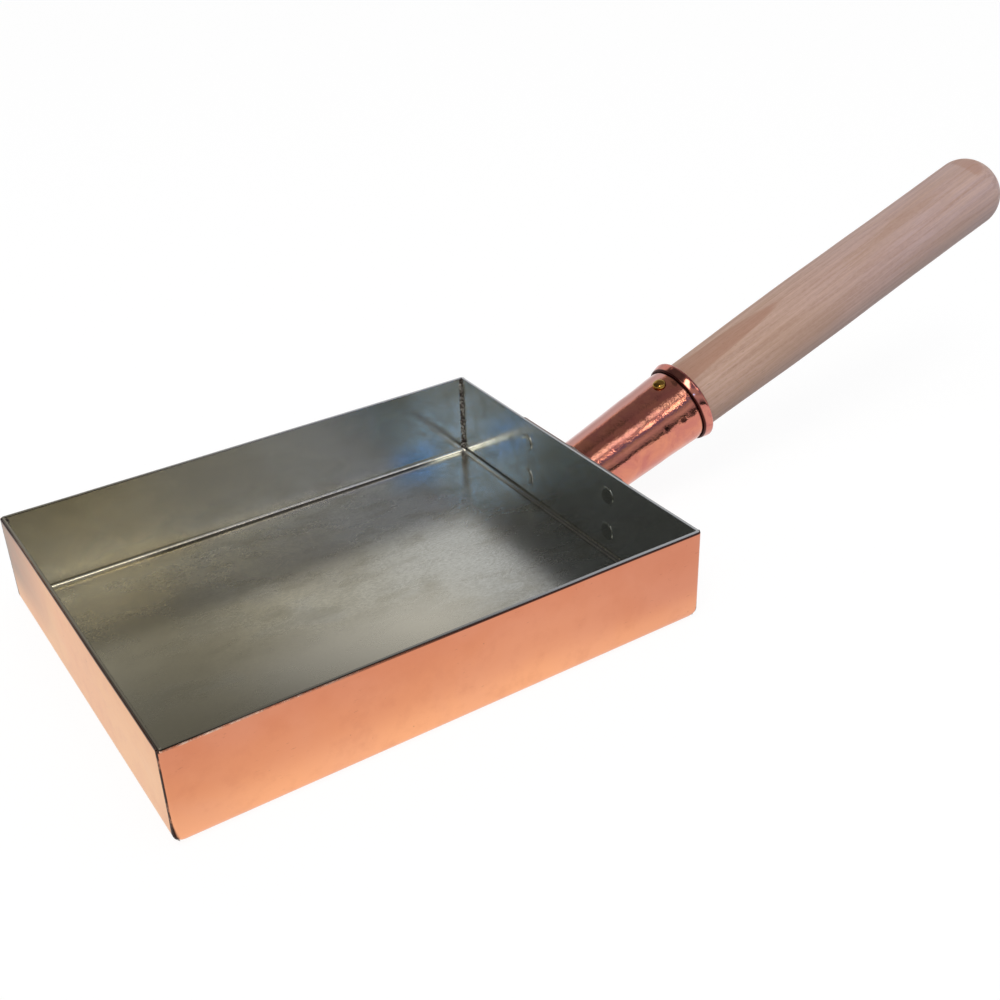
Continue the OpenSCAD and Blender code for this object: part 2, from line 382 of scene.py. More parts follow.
class Bench:
    """The nodes of one material or of the world."""

    def __init__(self, tree):
        self.tree = tree
        tree.nodes.clear()

    def add(self, kind, settings=None, inputs=None, output=0):
        """Adds a node, sets it up, feeds its sockets, and returns one of its outputs as a wire."""
        node = self.tree.nodes.new(kind)
        for name, value in (settings or {}).items():
            if name == "stops":
                self.set_stops(node.color_ramp, value)
            else:
                setattr(node, name, value)
        for name, value in (inputs or {}).items():
            if isinstance(value, Wire):
                self.tree.links.new(value.socket, node.inputs[name])
            else:
                node.inputs[name].default_value = value
        return Wire(self, node.outputs[output]) if len(node.outputs) else node

    def set_stops(self, ramp, stops):
        while len(ramp.elements) < len(stops):
            ramp.elements.new(1)
        for element, (position, colour) in zip(ramp.elements, stops):
            element.position = position
            element.color = (*colour, 1)

    def place(self):
        """Coordinates in the pan's frame, in millimetres."""
        spot = self.add("ShaderNodeTexCoord", output="Object")
        return self.stretch(spot, (1 / MM, 1 / MM, 1 / MM))

    def handle_place(self):
        """Coordinates in millimetres in the handle's own frame."""
        origin, turn, _ = handle_frame.decompose()
        sockets = {"Vector": self.place(), "Location": origin / MM, "Rotation": turn.to_euler()}
        return self.add("ShaderNodeMapping", {"vector_type": "TEXTURE"}, sockets)

    def stretch(self, spot, factors):
        return self.add("ShaderNodeVectorMath", {"operation": "MULTIPLY"}, {0: spot, 1: factors})

    def shift(self, spot, offset):
        return self.add("ShaderNodeVectorMath", {"operation": "ADD"}, {0: spot, 1: offset})

    def axis(self, spot, name):
        return self.add("ShaderNodeSeparateXYZ", None, {0: spot}, name)

    def clouds(self, spot, size, detail=3, roughness=0.5, distortion=0):
        """Noise whose patches are about size millimetres across."""
        sockets = {
            "Vector": spot,
            "Scale": 1 / size,
            "Detail": detail,
            "Roughness": roughness,
            "Distortion": distortion,
        }
        return self.add("ShaderNodeTexNoise", None, sockets, "Fac")

    def cells(self, spot, size):
        """Distance to the nearest of scattered points about size millimetres apart."""
        return self.add("ShaderNodeTexVoronoi", None, {"Vector": spot, "Scale": 1 / size}, "Distance")

    def climb(self, value, low, high):
        """0 below low, 1 above high, smooth between; with low above high it falls instead."""
        sockets = {"Value": value, "From Min": low, "From Max": high}
        return self.add("ShaderNodeMapRange", {"interpolation_type": "SMOOTHSTEP"}, sockets)

    def plateau(self, value, start, full, fade, gone):
        """0 up to start, 1 from full to fade, 0 from gone on; None leaves that side open."""
        up = 1 if start is None else self.climb(value, start, full)
        down = 1 if gone is None else self.climb(value, gone, fade)
        return up * down

    def band(self, value, low, high, soft):
        """1 between low and high, falling to 0 over twice the softness at each end."""
        return self.plateau(value, low - soft, low + soft, high - soft, high + soft)

    def least(self, first, second):
        """The smaller of two values."""
        return self.add("ShaderNodeMath", {"operation": "MINIMUM"}, {0: first, 1: second})

    def blend(self, mask, first, second):
        """Colour mixed from first to second by a mask."""
        return self.add("ShaderNodeMix", {"data_type": "RGBA"}, {0: mask, 6: first, 7: second}, 2)

    def coats(self, base, *layers):
        """Lays tones over a base colour one after another, each where its mask says."""
        for mask, shade in layers:
            base = self.blend(mask, base, tone(*shade))
        return base

    def ramp(self, value, stops):
        return self.add("ShaderNodeValToRGB", {"stops": stops}, {0: value})

    def bump(self, height, distance, strength=1.0, normal=None):
        """Normal bent by a height, with its full range in millimetres as distance."""
        sockets = {"Height": height, "Distance": distance * MM, "Strength": strength}
        if normal is not None:
            sockets["Normal"] = normal
        return self.add("ShaderNodeBump", None, sockets)


def tone(red, green, blue):
    """A colour given as the screen shows it, from 0 to 255, as a colour socket takes it."""

    def linear(value):
        part = value / 255
        return part / 12.92 if part <= 0.04045 else ((part + 0.055) / 1.055) ** 2.4

    return (linear(red), linear(green), linear(blue), 1)


def paint(name, make):
    """Makes a material; make gets its bench and returns the sockets of its main shader."""
    finish = bpy.data.materials.new(name)
    finish.use_nodes = True
    bench = Bench(finish.node_tree)
    shader = bench.add("ShaderNodeBsdfPrincipled", None, make(bench), "BSDF")
    bench.add("ShaderNodeOutputMaterial", None, {"Surface": shader})
    return finish


def metal(colour, rough, relief, metallic=1.0):
    """The sockets of a metal's shader."""
    return {"Base Color": colour, "Metallic": metallic, "Roughness": rough, "Normal": relief}


# Where a metal is burnt black it isn't metallic, and there it hardly shines
HARDLY_SHINES = {"Specular IOR Level": 0.05}

# Finishes

# Places that the shaders measure from, in millimetres: the tray's outside faces and top, the tin's inside
# faces and top, and the mouth of the socket along the handle
END = HALF_LENGTH / MM
SIDE = HALF_WIDTH / MM
TOP = COPPER_TOP / MM
INNER_END = (HALF_LENGTH - LINED) / MM
INNER_SIDE = (HALF_WIDTH - LINED) / MM
TIN_TOP = RIM_TOP / MM
MOUTH = SOCKET_LENGTH / MM


def satin_copper(bench):
    """Sheet copper, dark along the seams and the top edge; painted light makes it paler at the foot and on
    the front wall, with painted shade at the front wall's far end and a painted highlight along part of the
    top edge.
    """
    spot = bench.place()
    x = bench.axis(spot, "X")
    across = bench.axis(spot, "Y")
    height = bench.axis(spot, "Z")
    from_front = x + END
    from_end = END - abs(x)
    from_side = SIDE - abs(across)
    from_top = TOP - height
    long_streaks = bench.clouds(bench.stretch(spot, (0.03, 0.03, 2.4)), 1.0, 4, 0.6)
    scratches = bench.clouds(bench.stretch(spot, (0.12, 0.12, 5)), 1.0, 2, 0.5)
    haze = bench.clouds(spot, 34, 3, 0.5, 0.6)
    bloom = bench.clouds(bench.shift(spot, (40, 9, 3)), 7, 4, 0.6)
    pits = bench.climb(bench.cells(spot, 2.6), 0.11, 0.05)
    pits = pits * bench.climb(bench.clouds(spot, 5, 2), 0.56, 0.66)
    marks = bench.clouds(bench.stretch(bench.shift(spot, (0, 0, 60)), (0.35, 0.35, 3.2)), 1.0, 2, 0.4)
    marks = bench.climb(marks, 0.69, 0.76) * bench.climb(bench.clouds(spot, 16, 2), 0.5, 0.6)
    broken = bench.climb(bench.clouds(bench.stretch(spot, (1, 1, 0.2)), 5, 5, 0.75), 0.42, 0.62)

    # Painted light: the walls paler at the foot and darker towards the top
    side_walls_painted_light = bench.blend(bench.climb(height, 2, 20), tone(255, 181, 133), tone(230, 152, 112))
    side_walls_painted_light = bench.blend(bench.climb(height, 18, 34), side_walls_painted_light, tone(220, 140, 105))
    # Painted light and shade: the front wall paler than the others, with painted shade towards its far end
    front_wall_light_and_shade = bench.blend(bench.climb(height, 16, 34), tone(244, 185, 129), tone(240, 178, 120))
    far_shade = bench.climb(across, 12, 78) * bench.climb(height, 2, 20)
    front_wall_light_and_shade = bench.blend(far_shade, front_wall_light_and_shade, tone(142, 112, 84))
    at_front = bench.climb(from_front, 1.4, 0.2) * bench.climb(from_side, 1.3, 1.6)
    near_handle = bench.climb(x, 20, 88) * (0.35 + 0.4 * bench.climb(height, 5, 16))

    foot = bench.climb(height, 12, 1)
    from_seam = abs(from_side - 1.4)
    seam = bench.climb(from_seam, 0.85 + 0.8 * foot, 0.6 + 0.5 * foot)
    seam = seam * bench.climb(from_end, 1.6, 1.0) * bench.climb(bloom, 0.25, 0.45)
    # Painted highlight: a broken bright line along the top edge towards the front
    painted_edge_highlight = bench.climb(from_top, 0.5, 0.3) * bench.climb(x, -20, -60) * broken
    dark_edge = bench.climb(from_top, 0.7, 0.35) * bench.climb(x, -70, 10)
    dark_edge = dark_edge + bench.climb(from_top, 0.9, 0.55) * bench.climb(from_front, 0.9, 0.4)
    colour = bench.coats(
        bench.blend(at_front, side_walls_painted_light, front_wall_light_and_shade),
        (near_handle, (208, 130, 102)),
        (bench.climb(haze, 0.35, 0.7) * 0.25, (236, 168, 140)),
        (bench.climb(bloom, 0.45, 0.75) * 0.22, (210, 132, 98)),
        (pits * 0.5 + marks * 0.4, (120, 66, 44)),
        (seam, (58, 30, 20)),
        (painted_edge_highlight * 0.9, (252, 218, 192)),
        (dark_edge * 0.9, (50, 34, 34)),
    )
    rough = 0.25 + 0.1 * long_streaks + 0.08 * haze + 0.1 * pits
    relief = bench.bump(long_streaks + 0.4 * scratches, 0.01)
    relief = bench.bump(haze, 0.2, 0.6, relief)
    return metal(colour, rough, relief, 1 - 0.95 * seam) | HARDLY_SHINES


def wiped_tin(bench):
    """Tin wiped on by hand: warm in front, cool towards the handle, with painted light and shade on its
    floor, walls and bends, and painted shade in the near front corner.
    """
    spot = bench.place()
    x = bench.axis(spot, "X")
    across = bench.axis(spot, "Y")
    height = bench.axis(spot, "Z")
    from_rear = INNER_END - x
    from_far = INNER_SIDE - across
    swirl = bench.clouds(spot, 46, 2, 0.5)
    strokes = bench.clouds(bench.stretch(bench.shift(spot, (11, 5, 2)), (0.4, 0.9, 0.7)), 5, 3, 0.5)
    pale = bench.clouds(bench.stretch(bench.shift(spot, (90, 30, 0)), (0.6, 1, 1)), 20, 3, 0.55, 0.2)
    brown = bench.clouds(bench.stretch(bench.shift(spot, (3, 70, 40)), (0.6, 1, 1)), 30, 3, 0.55, 0.4)
    grain = bench.clouds(bench.stretch(spot, (0.35, 1, 1)), 0.5, 3, 0.8)
    pits = bench.climb(bench.cells(bench.shift(spot, (1, 4, 2)), 3.4), 0.09, 0.04)
    pits = pits * bench.climb(bench.clouds(spot, 12, 1), 0.56, 0.66)

    # Painted light and shade on the floor and on the lower and upper parts of the walls
    on_floor = bench.climb(height, 8, 4)
    # Painted light: a bright patch on the floor
    painted_floor_light = bench.band(x, -48, 30, 22) * bench.band(across, -75, -12, 18) * on_floor
    shaded = bench.climb(x, -5, -65) * bench.climb(across, -25, 5) * bench.climb(across, 66, 52) * on_floor
    # Painted shade in the near front corner
    near_front_shade = bench.climb(x + across, 50, -110) * bench.climb(height, 9, 3)
    # Painted light at the front end of the far wall
    far_front_light = bench.climb(across - x, 50, 160) * (0.25 + 0.25 * bench.climb(height, 3, 6))
    # Painted shade on the rear wall
    rear_wall_shade = bench.climb(from_rear, 3.5, 0.5) * bench.climb(across, 50, -4) * bench.climb(height, 2, 5)
    # Painted shade on the far wall
    far_wall_shade = bench.climb(from_far, 3.5, 0.5) * bench.band(x, -45, 72, 20) * bench.climb(height, 3, 8)

    # The bends between floor and walls: painted shade in the creases and folds, and a painted bluish
    # reflection by the rear far corner
    far_crease_shade = bench.band(height, 2.6, 3.3, 0.25) * bench.climb(from_far, 0.9, 0.5)
    far_crease_shade = far_crease_shade * bench.climb(x, 10, -50)
    rear_crease_shade = bench.band(height, 2.5, 3.5, 0.25) * bench.climb(from_rear, 0.9, 0.5)
    rear_crease_shade = rear_crease_shade * bench.climb(across, -40, 60)
    rear_fold_shade = bench.climb(from_rear, 2.3, 1.7) * bench.climb(height, 3.7, 3.2)
    rear_fold_shade = rear_fold_shade * bench.climb(across, 64, 24)
    far_fold_shade = bench.climb(from_far, 2.6, 1.7) * bench.climb(height, 2.1, 1.85) * bench.band(x, -46, 76, 9)
    # Painted reflection: a bluish tint by the rear far corner
    painted_blue_reflection = bench.climb(from_far, 2, 0.3) * bench.band(x, 60, 80, 8)
    painted_blue_reflection = painted_blue_reflection * bench.climb(height, 3.2, 3.8) * bench.climb(height, 16, 3)

    # The top of the rim, duller in front, with a dark line along its inner edge
    rim = bench.climb(height, TIN_TOP - 0.6, TIN_TOP - 0.25)
    inset = bench.least(END - abs(x), SIDE - abs(across))
    lip = bench.climb(inset, 0.95, 0.65) * bench.climb(x, 50, -30)
    rim_tin = bench.blend(bench.climb(x, -90, 80), tone(118, 112, 98), tone(180, 182, 186))
    rim_tin = bench.blend(lip * 0.9, rim_tin, tone(36, 28, 22))

    colour = bench.coats(
        bench.blend(bench.climb(x, -70, 70), tone(236, 225, 192), tone(226, 227, 224)),
        (bench.climb(pale, 0.42, 0.7) * 0.5, (226, 225, 219)),
        (bench.climb(brown, 0.48, 0.72) * 0.4, (176, 166, 146)),
        (bench.climb(strokes, 0.45, 0.75) * 0.35, (164, 156, 130)),
        (bench.climb(grain, 0.3, 0.7) * 0.45, (150, 148, 136)),
        (painted_floor_light, (255, 249, 232)),
        (shaded * 0.6, (166, 156, 128)),
        (pits * 0.35, (90, 86, 72)),
        (near_front_shade * 0.9, (102, 98, 84)),
        (far_front_light, (252, 246, 222)),
        (far_crease_shade * 0.75, (70, 62, 48)),
        (rear_crease_shade * 0.85, (58, 54, 46)),
        (rear_fold_shade * 0.7, (92, 88, 80)),
        (rear_wall_shade * 0.7, (156, 163, 162)),
        (far_wall_shade * 0.8, (188, 188, 180)),
        (painted_blue_reflection * 0.6, (138, 196, 250)),
        (far_fold_shade * 0.8, (66, 64, 56)),
    )
    colour = bench.blend(rim, colour, rim_tin)

    clear = bench.climb(x + across, 98, 132) * bench.climb(height, 32, 22)
    clear = clear * (0.35 + 0.65 * bench.climb(height, 1.7, 2.6))
    bright_fold = bench.band(height, 2.0, 3.8, 0.2) * bench.climb(from_far, 2.7, 2.1)
    bright_fold = bright_fold * bench.climb(x, -10, -60)
    rough = 0.15 + 0.09 * pale + 0.03 * strokes + 0.04 * grain - 0.07 * clear
    rough = rough + 0.04 * bench.climb(height, 2.2, 1.9) - 0.07 * bright_fold
    return metal(colour, rough, bench.bump(swirl, 0.1, 0.5))


def polished_copper(bench):
    """Planished copper, with painted shade under the ring, painted dark reflections round the deeper dents,
    and painted light that makes it paler on the far side.
    """
    spot = bench.handle_place()
    along = bench.axis(spot, "Z")
    scratches = bench.clouds(spot, 0.7, 2, 0.6)
    ripple = bench.clouds(bench.stretch(spot, (1, 1, 0.6)), 3.0, 2, 0.5)
    tarnish = bench.clouds(bench.shift(spot, (7, 3, 30)), 10, 4, 0.6, 0.5)
    stain = bench.clouds(bench.shift(spot, (1, 60, 3)), 4, 3, 0.6)
    ragged = bench.clouds(bench.shift(spot, (0, 9, 5)), 1.2, 3, 0.6)
    # Painted shade on the socket under the ring
    shade_under_ring = bench.band(along, MOUTH - 5.2, MOUTH - 0.6, 0.2)
    skin_radius = 14.6
    # Painted dark reflections round the deeper dents
    dent_reflections = 0
    for turn, station, width, _ in DENTS_WITH_DARK_REFLECTIONS:
        angle = math.radians(turn)
        middle = Vector((skin_radius * math.cos(angle), skin_radius * math.sin(angle), station))
        far = bench.add("ShaderNodeVectorMath", {"operation": "DISTANCE"}, {0: spot, 1: middle}, "Value")
        dent_reflections = dent_reflections + bench.climb(far + 1.6 * ragged, width + 0.9, width + 0.3)
    colour = bench.coats(
        bench.blend(bench.climb(tarnish, 0.35, 0.7), tone(218, 140, 114), tone(200, 122, 110)),
        (bench.climb(stain, 0.55, 0.75) * 0.35, (176, 92, 80)),
        # Painted light: paler towards the far side
        (bench.climb(bench.axis(spot, "Y"), 0.2, 1.8), (198, 144, 136)),
        (shade_under_ring * 0.9, (64, 26, 24)),
        (dent_reflections * 0.85, (46, 20, 18)),
    )
    relief = bench.bump(scratches, 0.045)
    relief = bench.bump(ripple, 0.06, 1.0, relief)
    return metal(colour, 0.06 + 0.05 * tarnish + 0.04 * stain, relief)


def ring_copper(bench):
    """The ring's copper, with painted shade where it folds under towards the pan and at its edge against the
    wood.
    """
    spot = bench.handle_place()
    along = bench.axis(spot, "Z")
    flat = bench.stretch(spot, (1, 1, 0))
    from_axis = bench.add("ShaderNodeVectorMath", {"operation": "LENGTH"}, {0: flat}, "Value")
    outside = (SOCKET_MOUTH + RING_HEIGHT) / MM
    wave = bench.clouds(spot, 5, 2, 0.5)
    stain = bench.clouds(bench.shift(spot, (4, 8, 2)), 3, 3, 0.6)
    # Painted shade where the ring folds under towards the pan
    shaded_fold = bench.climb(from_axis, outside - 0.68, outside - 0.88)
    shaded_fold = shaded_fold * bench.climb(along, MOUTH - 3.1, MOUTH - 3.5)
    colour = bench.coats(
        tone(208, 132, 116),
        (bench.climb(stain, 0.4, 0.7) * 0.6, (176, 102, 102)),
        (shaded_fold * 0.95, (58, 22, 20)),
        # Painted shade on the back of the roll against the wood
        (bench.climb(along, MOUTH - 1.0, MOUTH - 0.7) * 0.8, (90, 40, 36)),
    )
    return metal(colour, 0.07 + 0.07 * stain + 0.35 * shaded_fold, bench.bump(wave, 0.06))


def dull_copper(bench):
    """The plate's copper, greyed along its top edge."""
    spot = bench.place()
    haze = bench.clouds(spot, 8, 4, 0.6, 0.4)
    grain = bench.clouds(spot, 0.8, 3, 0.6)
    top = plate_high.z / MM
    edge = bench.climb(bench.axis(spot, "Z"), top - 0.7, top - 0.2)
    colour = bench.coats(
        tone(214, 134, 106),
        (bench.climb(haze, 0.35, 0.7) * 0.7, (160, 92, 74)),
        (edge * 0.9, (128, 116, 114)),
    )
    return metal(colour, 0.24 + 0.16 * haze, bench.bump(haze + 0.2 * grain, 0.06))


def brazed_metal(bench):
    """Rough filler with pale flecks, burnt dark where it shows outside in the seams."""
    spot = bench.place()
    x = bench.axis(spot, "X")
    lumps = bench.clouds(spot, 1.3, 4, 0.6)
    flecks = bench.climb(bench.clouds(spot, 0.8, 2), 0.52, 0.6)
    burnt = bench.climb(abs(x), END - 0.8, END - 0.3) * bench.climb(x, END + 1, END + 0.5)
    colour = bench.coats(
        tone(74, 66, 64),
        (bench.climb(lumps, 0.4, 0.65), (136, 128, 122)),
        (flecks * 0.9, (226, 222, 214)),
        (burnt, (52, 30, 22)),
    )
    return metal(colour, 0.5 + 0.3 * lumps, bench.bump(lumps, 0.2), 1 - burnt) | HARDLY_SHINES


def rivet_metal(bench):
    """Bare copper outside; tinned inside, and there painted shade makes it duller towards the near side, as
    on the wall.
    """
    spot = bench.place()
    mottle = bench.clouds(spot, 1.6, 3, 0.6)
    tinned = bench.blend(mottle, tone(196, 197, 190), tone(208, 208, 201))
    # Painted shade towards the near side, as on the wall
    near_side_shade = bench.climb(bench.axis(spot, "Y"), 20, -6)
    tinned = bench.blend(near_side_shade * 0.95, tinned, tone(148, 152, 147))
    bare = bench.blend(mottle, tone(176, 104, 84), tone(224, 146, 116))
    inside = bench.climb(bench.axis(spot, "X"), END - 0.4, END - 0.8)
    return metal(bench.blend(inside, bare, tinned), 0.1 + 0.06 * mottle, bench.bump(mottle, 0.02))


def nail_brass(bench):
    """The nail's brass, a little mottled."""
    mottle = bench.clouds(bench.place(), 1.2, 3, 0.6)
    colour = bench.blend(mottle, tone(140, 104, 44), tone(190, 148, 74))
    return metal(colour, 0.12 + 0.1 * mottle, bench.bump(mottle, 0.02))


def plain_wood(bench):
    """Bare wood cut along its growth layers, which run out at the ring and at the round end."""
    spot = bench.handle_place()
    along = bench.axis(spot, "Z")
    grain_turn = {0: spot, "Angle": math.radians(-8)}
    turned = bench.add("ShaderNodeVectorRotate", {"rotation_type": "Z_AXIS"}, grain_turn)
    upper = bench.axis(turned, "X") * -1
    drift = bench.clouds(bench.stretch(spot, (1, 1, 0.07)), 10, 3, 0.5)
    fibre = bench.clouds(bench.stretch(spot, (2.6, 2.6, 0.06)), 1.0, 4, 0.65)
    grain = bench.clouds(bench.stretch(spot, (1, 1, 0.35)), 0.8, 2, 0.6)
    wide = bench.clouds(bench.stretch(spot, (1, 1, 0.2)), 11, 3, 0.5)
    streaks = bench.clouds(bench.stretch(bench.shift(spot, (9, 2, 0)), (0.55, 0.55, 0.014)), 1.0, 3, 0.6)
    pores = bench.climb(bench.clouds(bench.stretch(spot, (4.5, 4.5, 0.25)), 1.0, 2, 0.5), 0.66, 0.75)
    pores = pores * bench.climb(along, 112, 78)

    layer_width = 4.4
    run_out = 0.043
    depth = upper - run_out * along + 1.6 * drift
    layer = bench.add("ShaderNodeMath", {"operation": "FRACT"}, {0: depth / layer_width + 0.15})
    late_wood = bench.climb(layer, 0.55, 0.98) * bench.climb(layer, 1.0, 0.985)
    ring_patch = bench.climb(depth, 10.62, 10.86) * bench.climb(along, 125, 110)
    end_patch = bench.climb(along + 0.8 * upper - 4 * drift + 3 * fibre, 225.4, 227)
    end_patch = end_patch * bench.climb(upper, 12.4, 13.4)
    # Painted shade: the underside greyer
    underside = bench.climb(bench.axis(spot, "X"), -2, 13)
    colour = bench.coats(
        bench.blend(bench.climb(along, 70, 190), tone(208, 171, 149), tone(206, 178, 175)),
        (late_wood * 0.28, (176, 132, 110)),
        (bench.climb(streaks, 0.52, 0.58) * 0.4, (226, 194, 178)),
        (bench.climb(streaks, 0.47, 0.4) * 0.42, (186, 146, 128)),
        (bench.climb(fibre, 0.35, 0.7) * 0.42, (186, 152, 134)),
        (bench.climb(grain, 0.35, 0.7) * 0.22, (228, 198, 184)),
        (bench.climb(wide, 0.45, 0.65) * 0.3, (196, 160, 134)),
        (ring_patch * 0.6 + end_patch * 0.4, (182, 134, 112)),
        (pores * 0.5, (120, 86, 68)),
        (underside * 0.5, (158, 142, 143)),
    )
    rough = 0.52 + 0.12 * fibre
    relief = bench.bump(fibre - 0.5 * pores, 0.05)
    return {"Base Color": colour, "Roughness": rough, "Normal": relief, "Specular IOR Level": 0.35}


SATIN_COPPER = paint("satin_copper_sheet", satin_copper)
WIPED_TIN = paint("hand_wiped_tin", wiped_tin)
POLISHED_COPPER = paint("planished_copper", polished_copper)
RING_COPPER = paint("ring_copper", ring_copper)
DULL_COPPER = paint("plate_copper", dull_copper)
BRAZE = paint("brazing", brazed_metal)
RIVET_METAL = paint("rivet_copper_and_tin", rivet_metal)
NAIL_BRASS = paint("nail_brass", nail_brass)
PLAIN_WOOD = paint("bare_wood", plain_wood)

# Tray and lining

X_STEPS = 96
Y_STEPS = 76
RIM_ROUND = 0.12 * MM
EDGE_ROUND = 0.4 * MM
FOOT_ROUND = 2.2 * MM


def wall_rings(inset, low, high, steps):
    """Rings between two heights of a wall, from low to high or from high to low."""
    return [(inset, low + (high - low) * step / steps) for step in range(1, steps)]


def bend_rings(inset, middle, steps=8):
    """Rings round the bend from floor to wall, at one inset from the outside."""
    return arc((middle, middle), middle - inset, 270, 180, steps)


def folded_piece(name, path, finish, node):
    """Lofts a path round the tray and gives it the waver of a folded sheet."""
    slab = RoundedSlab(HALF_LENGTH, HALF_WIDTH, CORNER, X_STEPS, Y_STEPS, foot=FOOT_ROUND)
    slab.skin(path)
    points = [sheet_sway(point) for point in slab.points]
    make_piece(name, points, slab.faces, finish, [node])


def copper_tray():
    """The tray's path: up its outside, over its top edge and down inside to the floor."""
    path = bend_rings(0, BEND)
    path += wall_rings(0, BEND, COPPER_TOP - EDGE_ROUND, 14)
    path += arc((EDGE_ROUND, COPPER_TOP - EDGE_ROUND), EDGE_ROUND, 180, 90, 4)
    path += [(SHEET, COPPER_TOP)]
    path += wall_rings(SHEET, COPPER_TOP, INNER_BEND, 6)
    path += bend_rings(SHEET, INNER_BEND, 6)[::-1]
    folded_piece("copper_tray", path, SATIN_COPPER, "pan_body")


def tin_inside():
    """The lining's path: up against the copper, over the rim and down its bright side."""
    path = bend_rings(SHEET, INNER_BEND, 6)
    path += wall_rings(SHEET, INNER_BEND, COPPER_TOP, 6)
    edge = EDGE_ROUND + 0.05 * MM
    path += [(SHEET, COPPER_TOP), (edge, COPPER_TOP)]
    path += [(edge + RIM_ROUND / 4, RIM_TOP - RIM_ROUND), (edge + RIM_ROUND, RIM_TOP)]
    path += [(LINED - RIM_ROUND, RIM_TOP), (LINED, RIM_TOP - RIM_ROUND)]
    path += wall_rings(LINED, RIM_TOP - RIM_ROUND, INNER_BEND, 14)
    path += bend_rings(LINED, INNER_BEND)[::-1]
    folded_piece("tin_inside", path, WIPED_TIN, "tin_lining")


def loft(points, faces, sections):
    """Adds a closed skin over sections with the same number of points."""
    first = len(points)
    count = len(sections[0])
    for section in sections:
        points += section
    for step in range(len(sections) - 1):
        here = first + step * count
        for spoke in range(count):
            after = (spoke + 1) % count
            faces.append((here + spoke, here + after, here + count + after, here + count + spoke))
    last = first + (len(sections) - 1) * count
    faces.append(tuple(first + spoke for spoke in range(count)))
    faces.append(tuple(last + spoke for spoke in range(count)))


def seam_filler(end, side):
    """Sections of the rough filler in the seam, from the foot of the wall to its top."""
    middle = HALF_WIDTH - SEAM_INSET - SEAM_WIDTH / 2
    low = 1.2 * MM
    sunk = 0.06 * MM
    depth = 0.12 * MM
    inner = HALF_LENGTH - LINED - HAIR
    steps = 90
    sections = []
    for step in range(steps + 1):
        z = low + (COPPER_TOP - low) * step / steps
        drawn_in = BEND - math.sqrt(BEND ** 2 - max(BEND - z, 0) ** 2)
        jitter = noise.noise(Vector((end * 5, side * 9, z / MM * 0.9)))
        half = SEAM_WIDTH / 2 * (1 + 0.35 * jitter) * (1.6 - 0.6 * smoothstep(0, 8 * MM, z))
        corner = CORNER + FOOT_ROUND * (1 - smoothstep(0, BEND, z))
        past = max(corner - SEAM_INSET - SEAM_WIDTH / 2, 0)
        rounded_off = corner - math.sqrt(corner ** 2 - past ** 2)
        outer = HALF_LENGTH - drawn_in - rounded_off - max(0, -sunk * jitter)
        under = outer - depth
        corners = [(under, half * 1.3), (outer, half * 0.5), (outer, -half * 0.5), (under, -half * 1.3)]
        corners += [(inner, -half), (inner, half)]
        sections.append([sheet_sway(Vector((end * x, side * (middle + y), z))) for x, y in corners])
    return sections


def corner_bead(end, side):
    """Sections of the uneven solder bead in the corner inside."""
    low = LINED + 0.4 * MM
    high = RIM_TOP - 0.5 * MM
    into_wall = 0.05 * MM
    pit_depth = 0.15 * MM
    x = HALF_LENGTH - LINED + into_wall
    y = HALF_WIDTH - LINED + into_wall
    steps = 90
    spokes = 7
    sections = []
    for step in range(steps + 1):
        z = low + (high - low) * step / steps
        lump = noise.noise(Vector((end * 11 + 2, side * 7, z / MM * 0.5)))
        leg = (1.6 + 0.5 * lump + 0.3 * smoothstep(9 * MM, LINED, z)) * MM
        section = [sheet_sway(Vector((end * x, side * y, z)))]
        for spoke in range(spokes):
            angle = math.pi / 2 * spoke / (spokes - 1)
            pit = noise.noise(Vector((end * 3, spoke * 0.9, z / MM * 1.3)))
            inward = pit_depth * pit * math.sin(2 * angle)
            bead_x = x - leg * (1 - math.sin(angle)) - inward
            bead_y = y - leg * (1 - math.cos(angle)) - inward
            section.append(sheet_sway(Vector((end * bead_x, side * bead_y, z))))
        sections.append(section)
    return sections


def corner_seam(name, end, side):
    """Rough filler in the seam of one corner, with the bead that fills the corner inside."""
    points = []
    faces = []
    loft(points, faces, seam_filler(end, side))
    loft(points, faces, corner_bead(end, side))
    make_piece(name + "_filler", points, faces, BRAZE, [name])


copper_tray()
tin_inside()
for end, end_name in ((-1, "front"), (1, "rear")):
    for side, side_name in ((1, "left"), (-1, "right")):
        corner_seam(f"seam_{end_name}_{side_name}", end, side)

# Handle plate and its rivets


def handle_plate():
    """The plate behind the handle, a little uneven on its face and following the wall's waver."""
    thick = PLATE_FACE - HALF_LENGTH
    edge = 0.25 * MM
    corner = 3 * MM
    dent_depth = 0.05 * MM
    dent_width = 7 * MM
    half_width = (plate_high.y - plate_low.y) / 2
    half_height = (plate_high.z - plate_low.z) / 2
    slab = RoundedSlab(half_width, half_height, corner, 60, 28, 6)
    path = [(edge / 2, 0), (0, edge / 2)]
    path += arc((edge, thick - edge), edge, 180, 90, 4)
    slab.skin(path)
    points = []
    for y, z, x in slab.points:
        dent = dent_depth * (noise.noise(Vector((y, z, 0)) / dent_width) - 1) if x > thick - edge else 0
        flat = Vector((HALF_LENGTH + x + dent, y, JOINT_HEIGHT + z))
        sway = sheet_sway(Vector((HALF_LENGTH, y, JOINT_HEIGHT + z))).x - HALF_LENGTH
        points.append(flat + Vector((sway, 0, 0)))
    make_piece("handle_plate", points, slab.faces, DULL_COPPER, ["handle_flange"])


